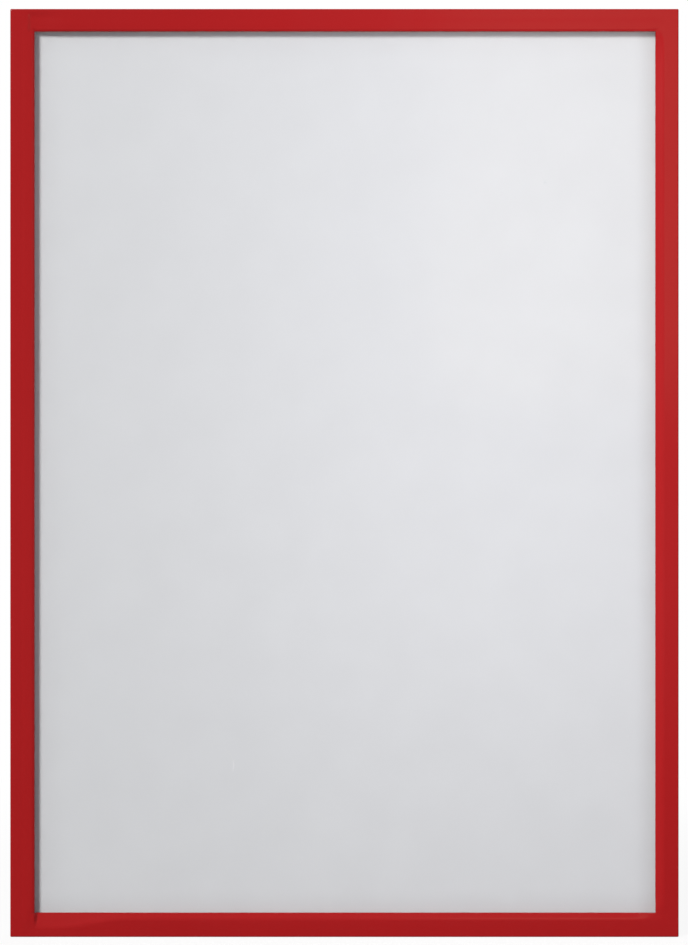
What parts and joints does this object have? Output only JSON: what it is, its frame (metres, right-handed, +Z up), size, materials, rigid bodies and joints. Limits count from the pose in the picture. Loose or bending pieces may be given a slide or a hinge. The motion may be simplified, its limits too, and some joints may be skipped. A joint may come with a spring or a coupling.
{
  "type": "display pocket",
  "caption": "Wall display pocket for a sheet of paper: a moulded frame with a clear pane swings open on a film hinge and shuts with magnets on a back panel with adhesive pads.",
  "frame": {"origin": "middle of the wall face, on the rear face of the centre adhesive pad", "axes": "+X to the right seen from the front, +Y into the wall, +Z up"},
  "size_m": [0.224, 0.0062, 0.311],
  "materials": {
    "frame_plastic": "red moulded plastic, satin",
    "clear_pane": "clear plastic sheet, slightly rippled",
    "bonding_tape": "double-sided tape",
    "magnet_strip": "ferrite-filled flexible strip, matt",
    "panel_plastic": "white rigid sheet, fine matt grain",
    "keeper_steel": "galvanised strip",
    "foam_pad": "closed-cell foam tape",
    "blank_card": "smooth white card, blank",
    "hinge_film": "clear film"
  },
  "bodies": {
    "back": {"back_panel": "panel_plastic", "keeper_strip_top": "keeper_steel", "keeper_strip_bottom": "keeper_steel", "keeper_strip_right": "keeper_steel", "adhesive_pad_top_left": "foam_pad", "adhesive_pad_top_right": "foam_pad", "adhesive_pad_centre": "foam_pad", "adhesive_pad_bottom_left": "foam_pad", "adhesive_pad_bottom_right": "foam_pad", "insert_sheet": "blank_card", "hinge_film": "hinge_film"},
    "front": {"front_frame": "frame_plastic", "window_pane": "clear_pane", "pane_tape_top": "bonding_tape", "pane_tape_bottom": "bonding_tape", "pane_tape_left": "bonding_tape", "pane_tape_right": "bonding_tape", "magnet_strip_top": "magnet_strip", "magnet_strip_bottom": "magnet_strip", "magnet_strip_right": "magnet_strip"}
  },
  "joints": [
    {"name": "front_hinge", "type": "hinge", "parent": "back", "child": "front", "pos_m": [-0.112, -0.00314, 0], "axis": [0, 0, -1], "range_deg": [0, 175], "deforming": ["hinge_film"]}
  ]
}
